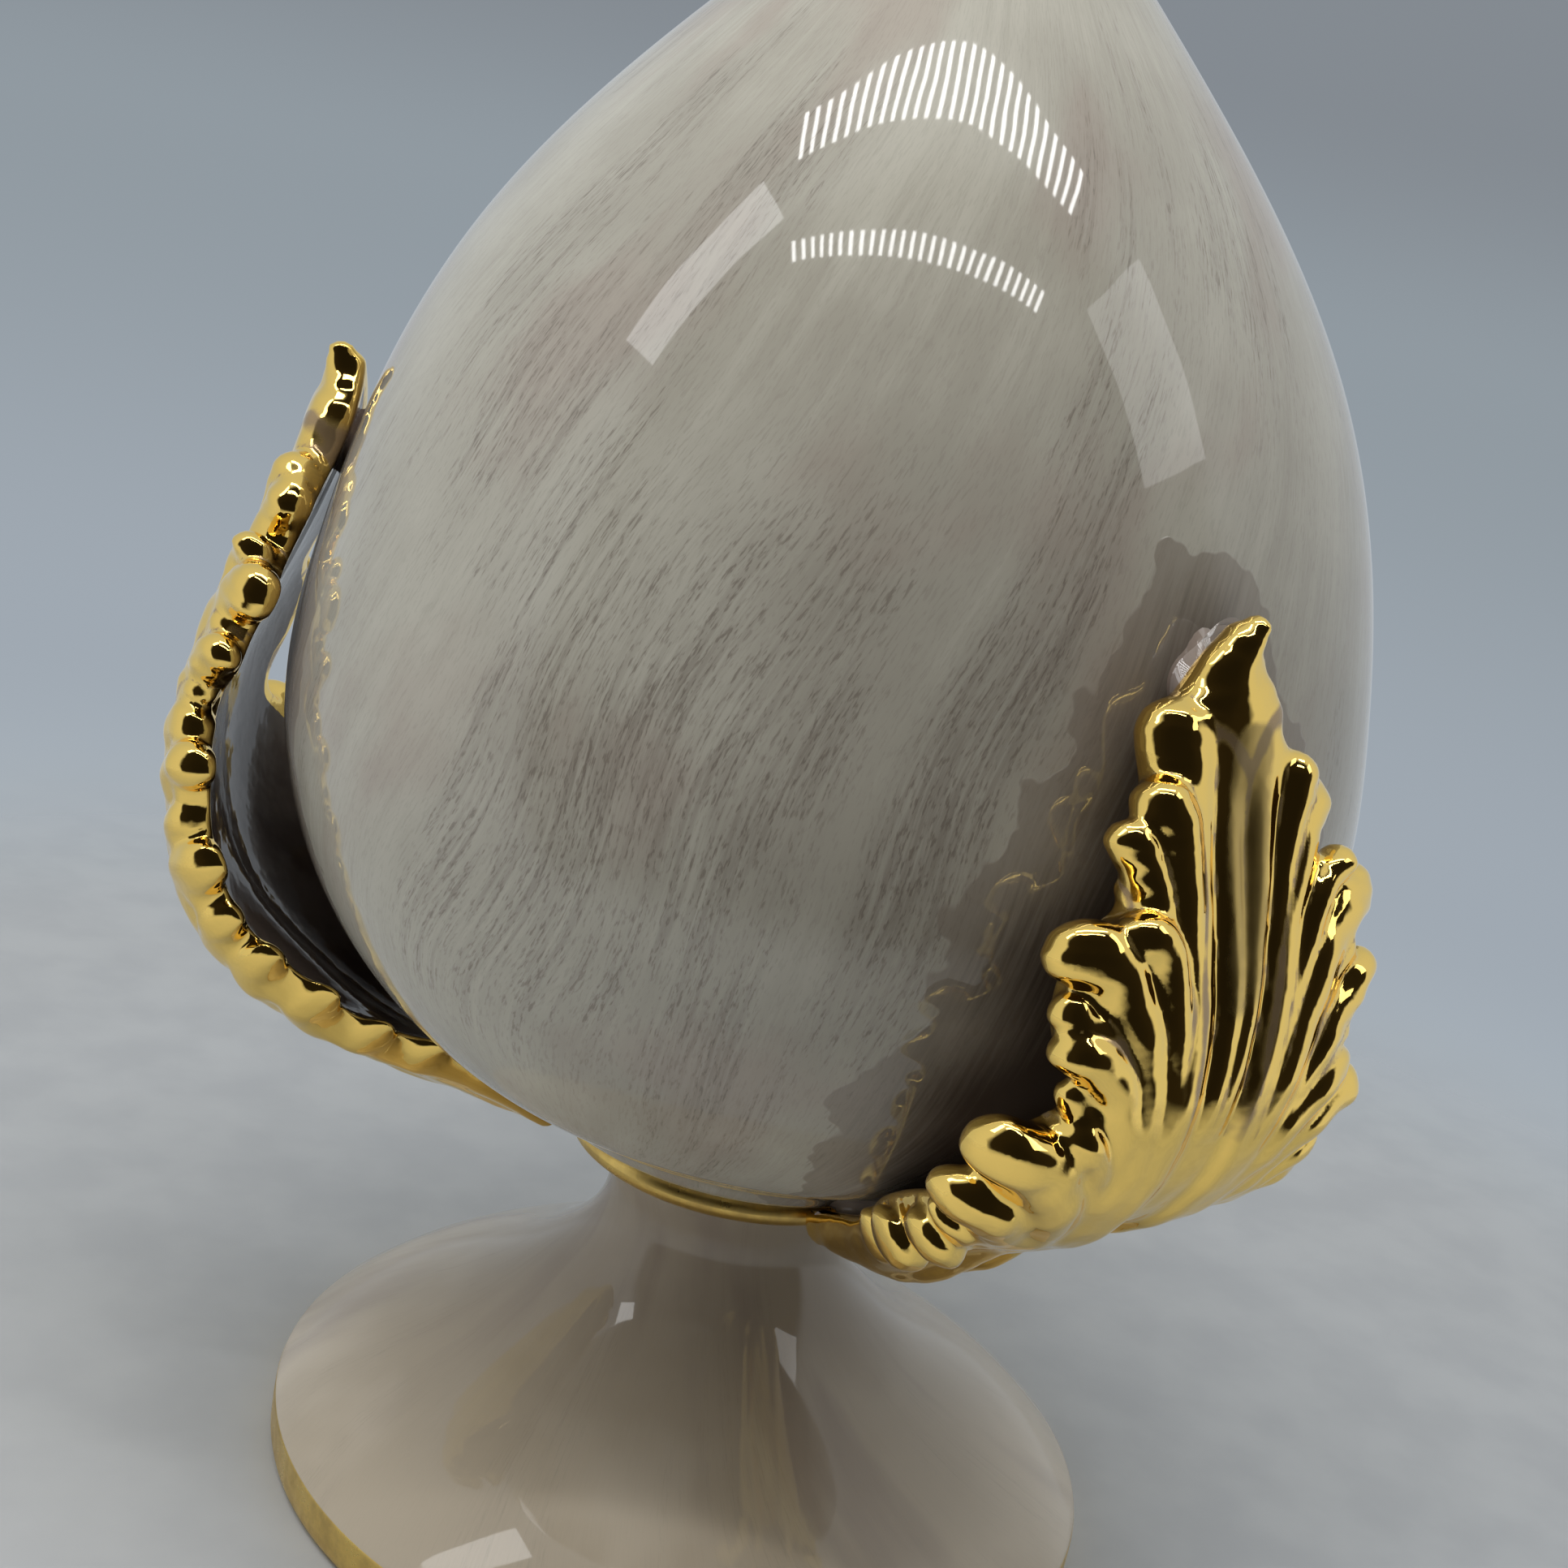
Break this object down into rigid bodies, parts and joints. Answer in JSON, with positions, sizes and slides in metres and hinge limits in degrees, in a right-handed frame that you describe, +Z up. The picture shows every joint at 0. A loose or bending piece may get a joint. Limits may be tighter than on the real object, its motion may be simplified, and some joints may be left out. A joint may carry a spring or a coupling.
{
  "type": "glazed ceramic bud finial",
  "caption": "Hollow glazed ceramic bud on a flared foot, with a gilded neck bead and gilded acanthus leaves cupped around it; stands on its flat base.",
  "frame": {"origin": "centre of the foot's flat underside, on the bud's axis", "axes": "+Z up along the bud's axis towards its pointed tip; -Y through the midrib of leaf_1"},
  "size_m": [0.1742, 0.1642, 0.25],
  "materials": {
    "bud_glaze": "glossy ivory glaze with dry-brushed taupe streaks",
    "foot_glaze": "glossy pale taupe glaze with a satin gold rim line",
    "brown_glaze": "glossy brown-grey wash",
    "gold_leaf": "mirror gold lustre over glazed ceramic",
    "gold_bead": "satin gold lustre over glazed ceramic"
  },
  "bodies": {
    "root": {"foot_and_stem": "foot_glaze", "neck_bead": "gold_bead", "bud_shell": "bud_glaze", "leaf_1": "gold_leaf", "leaf_1_tip_lug": "brown_glaze", "leaf_1_root_pad": "brown_glaze", "leaf_2": "gold_leaf", "leaf_2_tip_lug": "brown_glaze", "leaf_2_root_pad": "brown_glaze", "leaf_3": "gold_leaf", "leaf_3_tip_lug": "brown_glaze", "leaf_3_root_pad": "brown_glaze"}
  },
  "joints": []
}
